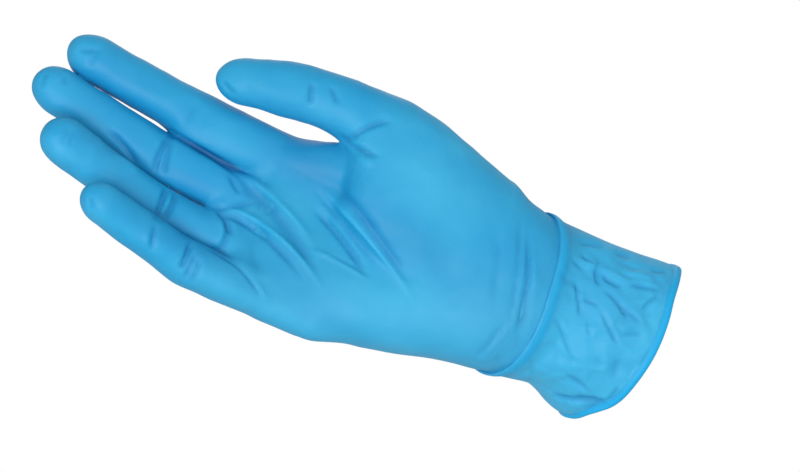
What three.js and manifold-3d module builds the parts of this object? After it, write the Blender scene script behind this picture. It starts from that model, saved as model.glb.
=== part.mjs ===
// A nitrile examination glove in the form that it has on a right hand: one dipped film with five hollow
// fingers, a palm, a folded wrist and a crumpled cuff that ends in a rolled bead.
// Millimetres and degrees. The origin is the centre of the cuff's mouth. The fingers point along -X,
// the palm faces -Y and the thumb lies on the +Z side.
import * as THREE from "three";
import { mergeVertices } from "three/addons/utils/BufferGeometryUtils.js";
import Module from "manifold-3d";

const wasm = await Module();
wasm.setup();

const FILM = 1; // wall of the film
const BEAD_LENGTH = 3; // rolled bead, along the cuff
const BEAD_RISE = 1.1; // how far the bead stands out of the film

const CUFF_LENGTH = 44; // mouth to wrist
const CUFF_WIDTH = 63;
const CUFF_DEPTH = 50;
const CUFF_LEAN = 15; // the cuff falls back from the palm's plane
const CUFF_RISE = 3; // and rises towards the thumb side
const WRIST_WIDTH = 60;
const WRIST_DEPTH = 42;
const WRIST_BEND = 40; // length over which the wrist straightens

const PALM_LENGTH = 95; // wrist to the webs between the fingers
const PALM_BREADTH = 74;
const PALM_DEPTH = 30;
const PALM_ROLL = 20; // the palm turns its little-finger side forward

const THUMB_LENGTH = 124; // from its root in the heel of the hand
const INDEX_LENGTH = 105; // each finger from its knuckle to its tip
const MIDDLE_LENGTH = 109;
const RING_LENGTH = 104;
const LITTLE_LENGTH = 90;
const FINGER_WIDTH = 16.6; // middle finger at its middle joint
const FINGER_DEPTH = 15;
const THUMB_WIDTH = 18.6;
const THUMB_DEPTH = 17;

const PLEAT_AT = 43; // edge of the fold across the wrist, from the mouth
const PLEAT_RISE = 1.6; // height of its lip
const PLEAT_EDGE = 0.6; // length over which the lip drops to the palm's side
const PLEAT_WAKE = 9; // length over which it dies away towards the mouth
const FOLD_RISE = 1.4; // height of a full crumple fold
const FOLD_BREADTH = 4.2; // its half breadth

const TRUNK_SIDES = 44;
const FINGER_SIDES = 16;
const CUFF_STEP = 3.2; // distance between rings
const PALM_STEP = 6.5;
const FINGER_STEP = 9;
const TIP_RINGS = 4;

const CUFF = { start: 0, length: CUFF_LENGTH, width: CUFF_WIDTH, depth: CUFF_DEPTH };
const WRIST = { start: 0, length: CUFF_LENGTH, width: WRIST_WIDTH, depth: WRIST_DEPTH };
const PALM = { start: CUFF_LENGTH, length: PALM_LENGTH, width: PALM_BREADTH, depth: PALM_DEPTH };

// Sections of the cuff and palm. at is a share of the part's length; high, low, front and back are shares
// of its width or depth; hollow is the palm's dish as a share of its depth; lean, slant and roll turn the
// section's plane; round is the superellipse's power.
const STATIONS = [
  { of: CUFF, at: 0, high: 0.5, low: 0.49, front: 0.5, back: 0.5, hollow: 0, lean: 25, slant: 7, roll: 0, round: 2 },
  { of: CUFF, at: 0.2, high: 0.5, low: 0.47, front: 0.49, back: 0.5, hollow: 0, lean: 25, slant: 5, roll: 1, round: 2 },
  { of: CUFF, at: 0.5, high: 0.48, low: 0.43, front: 0.47, back: 0.47, hollow: 0, lean: 28, slant: 1, roll: 4, round: 2.1 },
  { of: WRIST, at: 0.78, high: 0.5, low: 0.45, front: 0.5, back: 0.5, hollow: 0, lean: 33, slant: -5, roll: 8, round: 2.1 },
  { of: WRIST, at: 1, high: 0.5, low: 0.48, front: 0.52, back: 0.5, hollow: 0, lean: 25, slant: -6, roll: 11, round: 2.2 },
  { of: PALM, at: 0.16, high: 0.43, low: 0.45, front: 0.62, back: 0.56, hollow: 0, lean: 12, slant: -6, roll: 14, round: 2.3 },
  { of: PALM, at: 0.35, high: 0.38, low: 0.54, front: 0.6, back: 0.52, hollow: 0.08, lean: 6, slant: -8, roll: 17, round: 2.4 },
  { of: PALM, at: 0.56, high: 0.33, low: 0.62, front: 0.54, back: 0.47, hollow: 0.12, lean: 3, slant: -10, roll: 20, round: 2.5 },
  { of: PALM, at: 0.77, high: 0.26, low: 0.67, front: 0.43, back: 0.41, hollow: 0.08, lean: 0, slant: -13, roll: 20, round: 2.5 },
  { of: PALM, at: 0.92, high: 0.19, low: 0.67, front: 0.3, back: 0.32, hollow: 0.03, lean: 0, slant: -17, roll: 20, round: 2.4 },
  { of: PALM, at: 1, high: 0.1, low: 0.6, front: 0.17, back: 0.2, hollow: 0, lean: 0, slant: -20, roll: 20, round: 2.2 },
];
const HOLLOW_AT = -0.25; // middle of the palm's dish, as a share of the section's reach
const HOLLOW_SPREAD = 0.5;

// Fingers. along, across and ahead place the knuckle as shares of the palm's length, breadth and depth;
// spread is the angle away from the thumb side, sweep turns the finger back at its middle joint, and
// curl1 to curl3 bend its three joints towards the palm side.
const FINGERS = [
  {
    name: "index", length: INDEX_LENGTH, wide: 1.08, deep: 1.05,
    along: 0.72, across: 0.028, ahead: 0.02,
    spread: 0, sweep: 1, curl1: 0, curl2: 2, curl3: 3,
  },
  {
    name: "middle", length: MIDDLE_LENGTH, wide: 1.04, deep: 1,
    along: 0.73, across: -0.205, ahead: -0.12,
    spread: 1, sweep: 3, curl1: 1, curl2: 4, curl3: 3,
  },
  {
    name: "ring", length: RING_LENGTH, wide: 0.96, deep: 0.97,
    along: 0.67, across: -0.445, ahead: -0.04,
    spread: 1, sweep: 2, curl1: 4, curl2: 10, curl3: 4,
  },
  {
    name: "little", length: LITTLE_LENGTH, wide: 0.9, deep: 0.92,
    along: 0.6, across: -0.6, ahead: 0.03,
    spread: 5, sweep: 5, curl1: 11, curl2: 8, curl3: 4,
  },
];

// The thumb's centre line, as shares of its length along the hand, of the palm's breadth across it and of
// the palm's depth ahead of it.
const THUMB_PATH = [
  { along: 0.0, across: 0.1, ahead: -0.1 },
  { along: 0.16, across: 0.18, ahead: 0.08 },
  { along: 0.33, across: 0.265, ahead: 0.22 },
  { along: 0.5, across: 0.345, ahead: 0.32 },
  { along: 0.65, across: 0.36, ahead: 0.4 },
  { along: 0.8, across: 0.305, ahead: 0.46 },
  { along: 1.0, across: 0.18, ahead: 0.5 },
];

// Sections of a finger and of the thumb: at is a share of the length, wide and deep are shares of the
// width and depth.
const FINGER_SECTIONS = [
  { at: 0.0, wide: 0.5, deep: 0.6 },
  { at: 0.18, wide: 1.02, deep: 1.22 },
  { at: 0.34, wide: 1.1, deep: 1.18 },
  { at: 0.51, wide: 1.03, deep: 1.04 },
  { at: 0.63, wide: 1.0, deep: 1.0 },
  { at: 0.76, wide: 0.96, deep: 0.93 },
  { at: 0.9, wide: 0.97, deep: 0.93 },
  { at: 1.0, wide: 0.94, deep: 0.86 },
];
const THUMB_SECTIONS = [
  { at: 0.0, wide: 1.3, deep: 1.2 },
  { at: 0.14, wide: 2.0, deep: 1.75 },
  { at: 0.3, wide: 2.15, deep: 1.95 },
  { at: 0.44, wide: 1.78, deep: 1.7 },
  { at: 0.58, wide: 1.26, deep: 1.22 },
  { at: 0.7, wide: 1.06, deep: 1.04 },
  { at: 0.84, wide: 0.98, deep: 0.94 },
  { at: 1.0, wide: 0.86, deep: 0.84 },
];
const FINGER_ROUND = 2.2;
const TIP_LENGTH_SHARE = 0.62; // of the width: how long the rounded tip is
const JOINT_SHARES = [0, 0.51, 0.76, 1]; // knuckle, middle joint, end joint and tip

// Crumple folds on the palm side of the cuff and palm. along and up are shares of the part's length and
// width at the fold's two ends; rise is a share of the fold's height, and below zero it is a valley.
const FOLDS = [
  { of: CUFF, along1: 0.5, up1: 0.3, along2: 0.08, up2: 0.14, rise: 0.8, broad: 0.9 },
  { of: CUFF, along1: 0.6, up1: 0.02, along2: 0.2, up2: -0.22, rise: 1, broad: 1 },
  { of: CUFF, along1: 0.36, up1: -0.4, along2: 0.0, up2: -0.34, rise: -0.8, broad: 0.9 },
  { of: PALM, along1: 0.84, up1: 0.05, along2: 0.5, up2: -0.1, rise: -0.8, broad: 1.5 },
  { of: PALM, along1: 0.5, up1: -0.1, along2: 0.3, up2: -0.24, rise: -0.8, broad: 1.5 },
];

const rad = THREE.MathUtils.degToRad;
const { clamp, smoothstep } = THREE.MathUtils;

// Smooth interpolation of the named columns of a table whose rows have a place t.
function reader(rows, columns) {
  const curve = (column) => {
    const t = rows.map((row) => row.t);
    const v = rows.map((row) => row[column]);
    const slope = v.map((_, i) => {
      const a = Math.max(i - 1, 0);
      const b = Math.min(i + 1, v.length - 1);
      return (v[b] - v[a]) / (t[b] - t[a]);
    });
    return (x) => {
      let i = 0;
      while (i < t.length - 2 && x > t[i + 1]) i++;
      const span = t[i + 1] - t[i];
      const u = clamp((x - t[i]) / span, 0, 1);
      const u2 = u * u;
      const u3 = u2 * u;
      const ends = (2 * u3 - 3 * u2 + 1) * v[i] + (3 * u2 - 2 * u3) * v[i + 1];
      return ends + span * ((u3 - 2 * u2 + u) * slope[i] + (u3 - u2) * slope[i + 1]);
    };
  };
  const curves = columns.map((column) => [column, curve(column)]);
  return (x) => Object.fromEntries(curves.map(([column, f]) => [column, f(x)]));
}

// The trunk's centre line: straight through the cuff, bent at the wrist, straight through the palm.
const TRUNK_LENGTH = CUFF_LENGTH + PALM_LENGTH;
const BEND_START = CUFF_LENGTH - WRIST_BEND / 2;
function trunkCentre(s) {
  const steps = 40;
  const centre = new THREE.Vector3();
  for (let i = 0; i < steps; i++) {
    const at = ((i + 0.5) / steps) * s;
    const share = 1 - smoothstep(at, BEND_START, BEND_START + WRIST_BEND);
    const lean = rad(CUFF_LEAN * share);
    const rise = rad(CUFF_RISE * share);
    const step = new THREE.Vector3(-Math.cos(lean) * Math.cos(rise), -Math.sin(lean), -Math.sin(rise));
    centre.addScaledVector(step, s / steps);
  }
  return centre;
}
const WRIST_CENTRE = trunkCentre(CUFF_LENGTH);
const PALM_START = trunkCentre(BEND_START + WRIST_BEND);
const PALM_UP = new THREE.Vector3(0, Math.sin(rad(PALM_ROLL)), Math.cos(rad(PALM_ROLL)));
const PALM_FRONT = new THREE.Vector3(0, -Math.cos(rad(PALM_ROLL)), Math.sin(rad(PALM_ROLL)));

// A point of the palm: along from the wrist, across to the thumb side, ahead to the palm side.
function palmPoint(along, across, ahead) {
  return new THREE.Vector3(WRIST_CENTRE.x - along, PALM_START.y, PALM_START.z)
    .addScaledVector(PALM_UP, across * PALM_BREADTH)
    .addScaledVector(PALM_FRONT, ahead * PALM_DEPTH);
}

const trunkSection = reader(
  STATIONS.map((row) => ({
    t: row.of.start + row.at * row.of.length,
    high: row.high * row.of.width,
    low: row.low * row.of.width,
    front: row.front * row.of.depth,
    back: row.back * row.of.depth,
    hollow: row.hollow * row.of.depth,
    lean: row.lean,
    slant: row.slant,
    roll: row.roll,
    round: row.round,
  })),
  ["high", "low", "front", "back", "hollow", "lean", "slant", "roll", "round"],
);

// How far the film stands out of its plain section at distance s from the mouth: bead and wrist pleat.
function bead(s) {
  return s < BEAD_LENGTH ? BEAD_RISE * Math.sin((Math.PI * s) / BEAD_LENGTH) : 0;
}

function pleat(s) {
  return s <= PLEAT_AT ? PLEAT_RISE * Math.max(0, 1 - (PLEAT_AT - s) / PLEAT_WAKE) : 0;
}

const FOLD_LINES = FOLDS.map((row) => {
  const place = (along, up) => new THREE.Vector2(-row.of.start - along * row.of.length, up * row.of.width);
  return {
    line: [place(row.along1, row.up1), place(row.along2, row.up2)],
    rise: row.rise * FOLD_RISE,
    breadth: row.broad * FOLD_BREADTH,
  };
});

// How far the folds lift the film at a point, by its distance from each fold's line seen from the front.
function foldLift(point) {
  const seen = new THREE.Vector2(point.x, point.z);
  return FOLD_LINES.reduce((lift, fold) => {
    const [from, to] = fold.line;
    const run = to.clone().sub(from);
    const share = clamp(seen.clone().sub(from).dot(run) / run.lengthSq(), 0, 1);
    const away = seen.distanceTo(from.clone().addScaledVector(run, share)) / fold.breadth;
    return lift + fold.rise * Math.exp(-away * away);
  }, 0);
}

// One ring of points of a superellipse with its own radius in each quadrant; lift raises each point.
function ring(centre, up, front, size, round, sides, lift) {
  return Array.from({ length: sides }, (_, i) => {
    const angle = (2 * Math.PI * i) / sides;
    const c = Math.cos(angle);
    const f = Math.sin(angle);
    const power = 2 / round;
    const across = Math.sign(c) * Math.abs(c) ** power;
    const ahead = Math.sign(f) * Math.abs(f) ** power;
    const reachUp = c > 0 ? size.high : size.low;
    const reachFront = f > 0 ? size.front : size.back;
    const dish = ahead > 0 ? size.hollow * ahead * Math.exp(-(((across - HOLLOW_AT) / HOLLOW_SPREAD) ** 2)) : 0;
    const at = (more) =>
      centre
        .clone()
        .addScaledVector(up, (reachUp + more) * across)
        .addScaledVector(front, (reachFront + more) * ahead - dish);
    return at(lift(at(0), ahead));
  });
}

// A closed geometry through rings of points, fanned shut at both ends.
function loft(rings) {
  const sides = rings[0].length;
  const points = rings.flat();
  const index = [];
  for (let r = 0; r + 1 < rings.length; r++)
    for (let i = 0; i < sides; i++) {
      const j = (i + 1) % sides;
      const [a, b, c, d] = [r * sides + i, r * sides + j, (r + 1) * sides + j, (r + 1) * sides + i];
      const level = points[a].distanceTo(points[c]) < points[b].distanceTo(points[d]);
      index.push(...(level ? [a, c, b, a, d, c] : [a, d, b, b, d, c]));
    }
  const shut = (r, flip) => {
    const middle = new THREE.Vector3();
    rings[r].forEach((p) => middle.addScaledVector(p, 1 / sides));
    points.push(middle);
    for (let i = 0; i < sides; i++) {
      const edge = [r * sides + i, r * sides + ((i + 1) % sides)];
      index.push(points.length - 1, ...(flip ? edge.reverse() : edge));
    }
  };
  shut(0, false);
  shut(rings.length - 1, true);
  return new THREE.BufferGeometry().setFromPoints(points).setIndex(index);
}

function solid(geometry) {
  const merged = mergeVertices(geometry, 1e-4);
  return new wasm.Manifold(
    new wasm.Mesh({
      numProp: 3,
      vertProperties: merged.attributes.position.array,
      triVerts: new Uint32Array(merged.index.array),
    }),
  );
}

// Places along a length, evenly spaced at about the step.
function places(from, to, step) {
  const count = Math.max(2, Math.round((to - from) / step));
  return Array.from({ length: count + 1 }, (_, i) => from + ((to - from) * i) / count);
}

// The palm, wrist and cuff as one closed solid, inset by the wall for the hollow.
function trunk(inset) {
  const beadPlaces = [0, 0.12, 0.3, 0.7, 0.88].map((share) => share * BEAD_LENGTH);
  const stops = [
    ...beadPlaces,
    ...places(BEAD_LENGTH, PLEAT_AT, CUFF_STEP),
    ...places(PLEAT_AT + PLEAT_EDGE, TRUNK_LENGTH, PALM_STEP),
  ];
  const section = (s) => {
    const size = trunkSection(s);
    const lean = rad(size.lean);
    const slant = rad(size.slant);
    const roll = rad(size.roll);
    const up = new THREE.Vector3(Math.sin(slant), Math.sin(roll), Math.cos(roll)).normalize();
    const front = new THREE.Vector3(Math.sin(lean), -Math.cos(lean) * Math.cos(roll), Math.sin(roll)).normalize();
    const outside = inset ? 0 : bead(s);
    const lift = (point, ahead) => outside - inset + pleat(s) + foldLift(point) * smoothstep(ahead, 0, 0.3);
    return ring(trunkCentre(s), up, front, size, size.round, TRUNK_SIDES, lift);
  };
  const rings = stops.map(section);
  const end = trunkSection(TRUNK_LENGTH);
  const last = rings[rings.length - 1];
  for (const share of [0.55, 0.9]) {
    const middle = trunkCentre(TRUNK_LENGTH);
    const shrink = Math.sqrt(1 - share * share);
    const onward = (end.front - inset) * share;
    rings.push(last.map((p) => p.clone().sub(middle).multiplyScalar(shrink).add(middle).setX(p.x - onward)));
  }
  if (inset) rings.unshift(rings[0].map((p) => p.clone().setX(p.x + BEAD_LENGTH)));
  return solid(loft(rings));
}

// A finger or thumb along its centre line, with a rounded tip.
function digit(path, sections, width, depth, inset) {
  const size = reader(sections.map((row) => ({ t: row.at, wide: row.wide, deep: row.deep })), ["wide", "deep"]);
  const length = path.getLength();
  const barrel = length - TIP_LENGTH_SHARE * width;
  const tip = length - barrel - inset;
  const section = (s, shrink) => {
    const share = s / length;
    const at = size(share);
    const ahead = path.getTangentAt(share);
    const up = PALM_UP.clone().addScaledVector(ahead, -ahead.dot(PALM_UP)).normalize();
    const front = new THREE.Vector3().crossVectors(up, ahead);
    const half = ((at.wide * width) / 2 - inset) * shrink;
    const thick = ((at.deep * depth) / 2 - inset) * shrink;
    const reach = { high: half, low: half, front: thick, back: thick, hollow: 0 };
    return ring(path.getPointAt(share), up, front, reach, FINGER_ROUND, FINGER_SIDES, () => 0);
  };
  const rings = places(inset, barrel, FINGER_STEP).map((s) => section(s, 1));
  for (let i = 1; i <= TIP_RINGS; i++) {
    const angle = (i / (TIP_RINGS + 0.4)) * (Math.PI / 2);
    rings.push(section(barrel + tip * Math.sin(angle), Math.cos(angle)));
  }
  return solid(loft(rings));
}

// A finger's centre line from its knuckle, bent at each joint.
function fingerPath(finger) {
  const points = [palmPoint(finger.along * PALM_LENGTH, finger.across, finger.ahead)];
  const curls = [finger.curl1, finger.curl2, finger.curl3];
  const turns = [finger.spread, -finger.sweep, 0];
  let curl = 0;
  let turn = 0;
  for (let j = 0; j < curls.length; j++) {
    curl += curls[j];
    turn += turns[j];
    const bone = (JOINT_SHARES[j + 1] - JOINT_SHARES[j]) * finger.length;
    const step = new THREE.Vector3(-Math.cos(rad(curl)) * Math.cos(rad(turn)), 0, 0)
      .addScaledVector(PALM_FRONT, Math.sin(rad(curl)))
      .addScaledVector(PALM_UP, -Math.cos(rad(curl)) * Math.sin(rad(turn)));
    const from = points[points.length - 1];
    points.push(from.clone().addScaledVector(step, bone / 2), from.clone().addScaledVector(step, bone));
  }
  return new THREE.CatmullRomCurve3(points);
}

function thumbPath() {
  return new THREE.CatmullRomCurve3(
    THUMB_PATH.map((row) => palmPoint(row.along * THUMB_LENGTH, row.across, row.ahead)),
  );
}

function hand(inset) {
  let made = trunk(inset).add(digit(thumbPath(), THUMB_SECTIONS, THUMB_WIDTH, THUMB_DEPTH, inset));
  for (const finger of FINGERS) {
    const width = FINGER_WIDTH * finger.wide;
    const depth = FINGER_DEPTH * finger.deep;
    made = made.add(digit(fingerPath(finger), FINGER_SECTIONS, width, depth, inset));
  }
  return made;
}

function meshOf(made, name, material) {
  const { vertProperties, triVerts } = made.getMesh();
  const geometry = new THREE.BufferGeometry()
    .setAttribute("position", new THREE.BufferAttribute(vertProperties, 3))
    .setIndex(new THREE.BufferAttribute(triVerts, 1));
  geometry.computeVertexNormals();
  const mesh = new THREE.Mesh(geometry, material);
  mesh.name = name;
  return mesh;
}

const nitrile = new THREE.MeshStandardMaterial({ color: 0x3da6e0, roughness: 0.42, metalness: 0 });
const glove = new THREE.Group();
glove.add(meshOf(hand(0).subtract(hand(FILM)), "glove", nitrile));

export default glove;
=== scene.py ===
"""The looks of a blue nitrile examination glove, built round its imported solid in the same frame."""

import math

import bmesh
import bpy
import numpy as np
from mathutils import Matrix, Vector, noise


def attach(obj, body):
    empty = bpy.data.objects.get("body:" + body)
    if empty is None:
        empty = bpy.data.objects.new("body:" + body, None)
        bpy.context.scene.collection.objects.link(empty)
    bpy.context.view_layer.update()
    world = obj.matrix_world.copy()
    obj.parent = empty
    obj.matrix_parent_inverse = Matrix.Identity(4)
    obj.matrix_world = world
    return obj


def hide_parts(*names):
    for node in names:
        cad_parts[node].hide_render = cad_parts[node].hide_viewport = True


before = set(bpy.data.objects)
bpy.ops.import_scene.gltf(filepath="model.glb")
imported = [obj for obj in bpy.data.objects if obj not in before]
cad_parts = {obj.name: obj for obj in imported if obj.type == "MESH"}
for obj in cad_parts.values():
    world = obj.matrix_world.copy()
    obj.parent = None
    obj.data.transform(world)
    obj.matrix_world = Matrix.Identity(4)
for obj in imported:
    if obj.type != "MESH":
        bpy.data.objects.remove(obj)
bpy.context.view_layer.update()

MM = 0.001
# The film's thickness.
FILM = 1.0

# Named sizes in millimetres and degrees, the same as in the part's source.
CUFF_LENGTH, CUFF_WIDTH, CUFF_DEPTH = 44, 63, 50
CUFF_LEAN, CUFF_RISE = 15, 3
WRIST_WIDTH, WRIST_DEPTH, WRIST_BEND = 60, 42, 40
PALM_LENGTH, PALM_BREADTH, PALM_DEPTH, PALM_ROLL = 95, 74, 30, 20
THUMB_LENGTH, INDEX_LENGTH, MIDDLE_LENGTH, RING_LENGTH, LITTLE_LENGTH = 124, 105, 109, 104, 90
FINGER_WIDTH, FINGER_DEPTH = 16.6, 15
THUMB_WIDTH, THUMB_DEPTH = 18.6, 17
TRUNK_LENGTH = CUFF_LENGTH + PALM_LENGTH
JOINT_SHARES = (0, 0.51, 0.76, 1)

CUFF = (0, CUFF_LENGTH, CUFF_WIDTH, CUFF_DEPTH)
WRIST = (0, CUFF_LENGTH, WRIST_WIDTH, WRIST_DEPTH)
PALM = (CUFF_LENGTH, PALM_LENGTH, PALM_BREADTH, PALM_DEPTH)

# Sections of the cuff and palm, as shares of the part's length, width and depth, and angles.
STATION_COLUMNS = ("of", "at", "high", "low", "front", "back", "hollow", "lean", "slant", "roll", "round")
STATIONS = [
    (CUFF, 0, 0.5, 0.49, 0.5, 0.5, 0, 25, 7, 0, 2),
    (CUFF, 0.2, 0.5, 0.47, 0.49, 0.5, 0, 25, 5, 1, 2),
    (CUFF, 0.5, 0.48, 0.405, 0.47, 0.47, 0, 28, 1, 4, 2.1),
    (WRIST, 0.78, 0.5, 0.45, 0.5, 0.5, 0, 33, -5, 8, 2.1),
    (WRIST, 1, 0.5, 0.48, 0.52, 0.5, 0, 25, -6, 11, 2.2),
    (PALM, 0.16, 0.43, 0.44, 0.62, 0.56, 0, 12, -6, 14, 2.3),
    (PALM, 0.35, 0.38, 0.527, 0.6, 0.52, 0.12, 6, -8, 17, 2.4),
    (PALM, 0.56, 0.33, 0.605, 0.55, 0.47, 0.2, 3, -10, 20, 2.5),
    (PALM, 0.77, 0.24, 0.635, 0.46, 0.41, 0.18, 0, -13, 20, 2.5),
    (PALM, 0.92, 0.13, 0.61, 0.33, 0.32, 0.08, 0, -17, 20, 2.4),
    (PALM, 1, 0.05, 0.58, 0.17, 0.2, 0, 0, -20, 20, 2.2),
]
HOLLOW_AT, HOLLOW_SPREAD = -0.22, 0.42

# Fingers: knuckle as shares of the palm, angles of the joints, and growth towards the tip. At its root a
# finger melts into its neighbours over the width of its web, which fades between two shares of its length.
FINGER_COLUMNS = (
    "length", "wide", "deep", "along", "across", "ahead", "spread", "sweep",
    "curl1", "curl2", "curl3", "taper", "web", "web_from", "web_to",
)
FINGERS = [
    (INDEX_LENGTH, 1.08, 1.05, 0.72, 0.028, 0.02, 0, 1.3, 0, 2, 3, -0.06, 5, 0.12, 0.4),
    (MIDDLE_LENGTH, 1.06, 1.0, 0.73, -0.206, -0.07, 1, 4.6, 1, 4, 3, -0.04, 5, 0.12, 0.38),
    (RING_LENGTH, 0.95, 0.97, 0.67, -0.453, -0.04, 1, 4.4, 4, 10, 4, 0.06, 13, 0.34, 0.44),
    (LITTLE_LENGTH, 0.9, 0.92, 0.6, -0.6, 0.03, 5, 5.6, 11, 8, 4, -0.07, 13, 0.3, 0.42),
]
# The thumb's line: along it as shares of its length, across and ahead as shares of the palm.
THUMB_PATH = [
    (0.0, 0.1, -0.06), (0.16, 0.18, 0.16), (0.33, 0.265, 0.32), (0.5, 0.345, 0.37),
    (0.65, 0.36, 0.41), (0.8, 0.305, 0.46), (1.0, 0.18, 0.5),
]
# Sections along a finger: place, breadth, depth, and the lower side's reach as a share of the upper one's.
FINGER_SECTIONS = [
    (0.0, 0.3, 0.3, 1.0), (0.1, 0.6, 0.55, 1.0), (0.2, 0.9, 0.84, 0.86), (0.32, 1.06, 1.08, 0.88),
    (0.43, 1.07, 1.08, 0.94), (0.51, 1.06, 1.02, 1.0), (0.6, 0.99, 1.0, 1.0), (0.69, 0.95, 0.98, 1.0),
    (0.76, 0.97, 0.92, 1.0), (0.84, 0.96, 0.94, 1.0), (0.92, 0.97, 0.93, 1.0), (1.0, 0.92, 0.84, 1.0),
]
INDEX_SECTIONS = [
    (0.0, 0.6, 0.3, 0.6), (0.1, 1.26, 0.55, 0.5), (0.2, 1.2, 0.86, 0.66), (0.32, 1.12, 1.08, 0.96),
    (0.43, 1.08, 1.08, 1.14), (0.51, 1.06, 1.02, 1.2), (0.6, 0.99, 1.0, 0.88), (0.69, 0.96, 0.98, 0.87),
    (0.76, 0.97, 0.92, 0.89), (0.84, 0.96, 0.94, 0.96), (0.92, 0.97, 0.93, 1.0), (1.0, 0.92, 0.84, 1.0),
]
THUMB_SECTIONS = [
    (0.0, 1.3, 1.1, 1.0), (0.14, 1.7, 1.42, 1.5), (0.3, 1.9, 1.48, 1.84), (0.42, 1.76, 1.4, 1.94),
    (0.5, 1.56, 1.3, 1.74), (0.56, 1.33, 1.22, 1.3), (0.61, 1.15, 1.16, 1.04), (0.66, 1.08, 1.1, 1.0),
    (0.74, 1.04, 1.02, 1.0), (0.81, 1.02, 1.0, 1.0), (0.88, 0.89, 0.92, 1.0), (0.94, 0.86, 0.88, 1.0),
    (1.0, 0.86, 0.84, 1.0),
]
THUMB_WEB_SPAN = (0.44, 0.62)
THUMB_BLEND, FINGER_BLEND = 12.0, 0.5
# The round ends of a finger, the growth towards its tip, and how square its section is.
TIP_SHARE, ROOT_CAP = 0.62, 5.0
TAPER_SPAN = (0.7, 0.88)
DIGIT_ROUND = 2.2

# The film is built from a field down to this distance from the mouth, and in rings from there to the mouth.
JOIN_AT = 60.0
TRUNK_STEP, TRUNK_OVERLAP, DIGIT_STEPS, LINE_STEPS = 1.5, 12, 160, 400
CELL, INNER_CELL, COARSE = 0.83, 2.6, 4
HAND_LOW, HAND_HIGH, FIELD_MARGIN = (-226.0, -60, -58), (-40.0, 27, 46), 24
ROUGH_BATCHES, EXACT_BATCHES = 12, 6
SMOOTHING_ROUNDS, SMOOTHING, LONGEST_STEP = 3, 0.6, 0.6
MERGE_WITHIN = 0.3

# The camera looks along +Y at this place in x and z. The picture's width is measured at the glove.
CAMERA_DISTANCE = 1400.0
CAMERA_AT = (-85.3, -2.8)
PICTURE_WIDTH = 276.0
PICTURE_TILT = 28.0
SENSOR_WIDTH = 36.0

# The studio, in metres. Each lamp has a place, a size and a power.
FLOOR_RADIUS, FLOOR_AT, FLOOR_COLOUR, FLOOR_ROUGH = 0.32, (-0.1, 0, -0.235), (0.86, 0.86, 0.86), 0.6
LAMPS = {
    "key": ((-0.22, -0.8, -0.2), 0.5, 3.9),
    "fill": ((0.1, -0.7, 0.5), 1.0, 1.6),
    "back": ((-0.3, 0.6, 0.5), 0.6, 1.0),
}
LAMP_TARGET = (-0.1, 0, 0)
SKY_STRENGTH, WHITE = 0.5, (1, 1, 1, 1)

# The film's colours: its even tones, where it hangs loose, where it lies tight (in part painted light),
# painted shade in grooves and hollows, painted shadow in a slit between fingers, painted shade in a crease
# and painted highlight on its ridge, and where it lies double.
THIN, EVEN, CLOUDY = (0.008, 0.315, 0.62), (0.024, 0.375, 0.66), (0.045, 0.36, 0.62)
LIMP, TIGHT_AND_LIT, DEEP_SHADE, SLIT_SHADOW = (0.05, 0.52, 0.86), (0.08, 0.56, 0.86), (0.0, 0.205, 0.47), (0.0, 0.075, 0.24)
CREASE_SHADE, RIDGE_HIGHLIGHT, DOUBLE = (0.004, 0.18, 0.46), (0.03, 0.5, 0.84), (0.004, 0.4, 0.76)

# Uneven tones of the film. Columns: noise scale, detail and roughness, its span, share at most, colour.
CLOUDS = [(28, 3, 0.55, 0.35, 0.65, 1, EVEN), (9, 2, 0.5, 0.4, 0.62, 0.6, CLOUDY)]
# Tones that a point attribute brings in. Columns: attribute, where it starts and is full, share, colour.
# The 'pale' tones paint light where the film lies tight and shade in grooves, hollows and slits; the 'fold'
# tones paint shade in creases and a highlight on ridges.
TONES = [
    ("loose", 0, 1, 0.5, LIMP), ("pale", 0, 1, 0.6, TIGHT_AND_LIT), ("pale", 0, -2, 1, DEEP_SHADE),
    ("pale", -1.6, -3, 0.9, SLIT_SHADOW), ("fold", -0.15, -1.1, 0.5, CREASE_SHADE), ("fold", 0.2, 1.2, 0.4, RIDGE_HIGHLIGHT),
]
# The satin of the film, and the light that it lets through.
GLOSS_NOISE, GLOSS_SPAN = (60, 3, 0.6), (0.3, 0.7, 0.48, 0.58)
SURFACE = {
    "Specular IOR Level": 0.34,
    "Subsurface Weight": 0.12,
    "Subsurface Radius": (0.4, 0.9, 1.6),
    "Subsurface Scale": 0.002,
}
# Its bumps. Columns: strength, height in metres, noise scale, detail and roughness.
WAVES, GRAIN = (0.25, 0.0006, 170, 4, 0.55), (0.12, 0.00012, 2600, 2, 0.5)


def rad(angle):
    return angle * math.pi / 180


def unit(v):
    return v / np.linalg.norm(v, axis=-1, keepdims=True)


def smoothstep(x, a, b):
    t = np.clip((x - a) / (b - a), 0, 1)
    return t * t * (3 - 2 * t)


def curve(t, v, x):
    """Smooth interpolation of a column v at places t."""
    t, v, x = (np.asarray(a, float) for a in (t, v, x))
    before = np.maximum(np.arange(len(t)) - 1, 0)
    after = np.minimum(np.arange(len(t)) + 1, len(t) - 1)
    slope = (v[after] - v[before]) / (t[after] - t[before])
    i = np.clip(np.searchsorted(t, x, side="right") - 1, 0, len(t) - 2)
    span = t[i + 1] - t[i]
    u = np.clip((x - t[i]) / span, 0, 1)
    ends = (2 * u**3 - 3 * u**2 + 1) * v[i] + (3 * u**2 - 2 * u**3) * v[i + 1]
    return ends + span * ((u**3 - 2 * u**2 + u) * slope[i] + (u**3 - u**2) * slope[i + 1])


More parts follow.
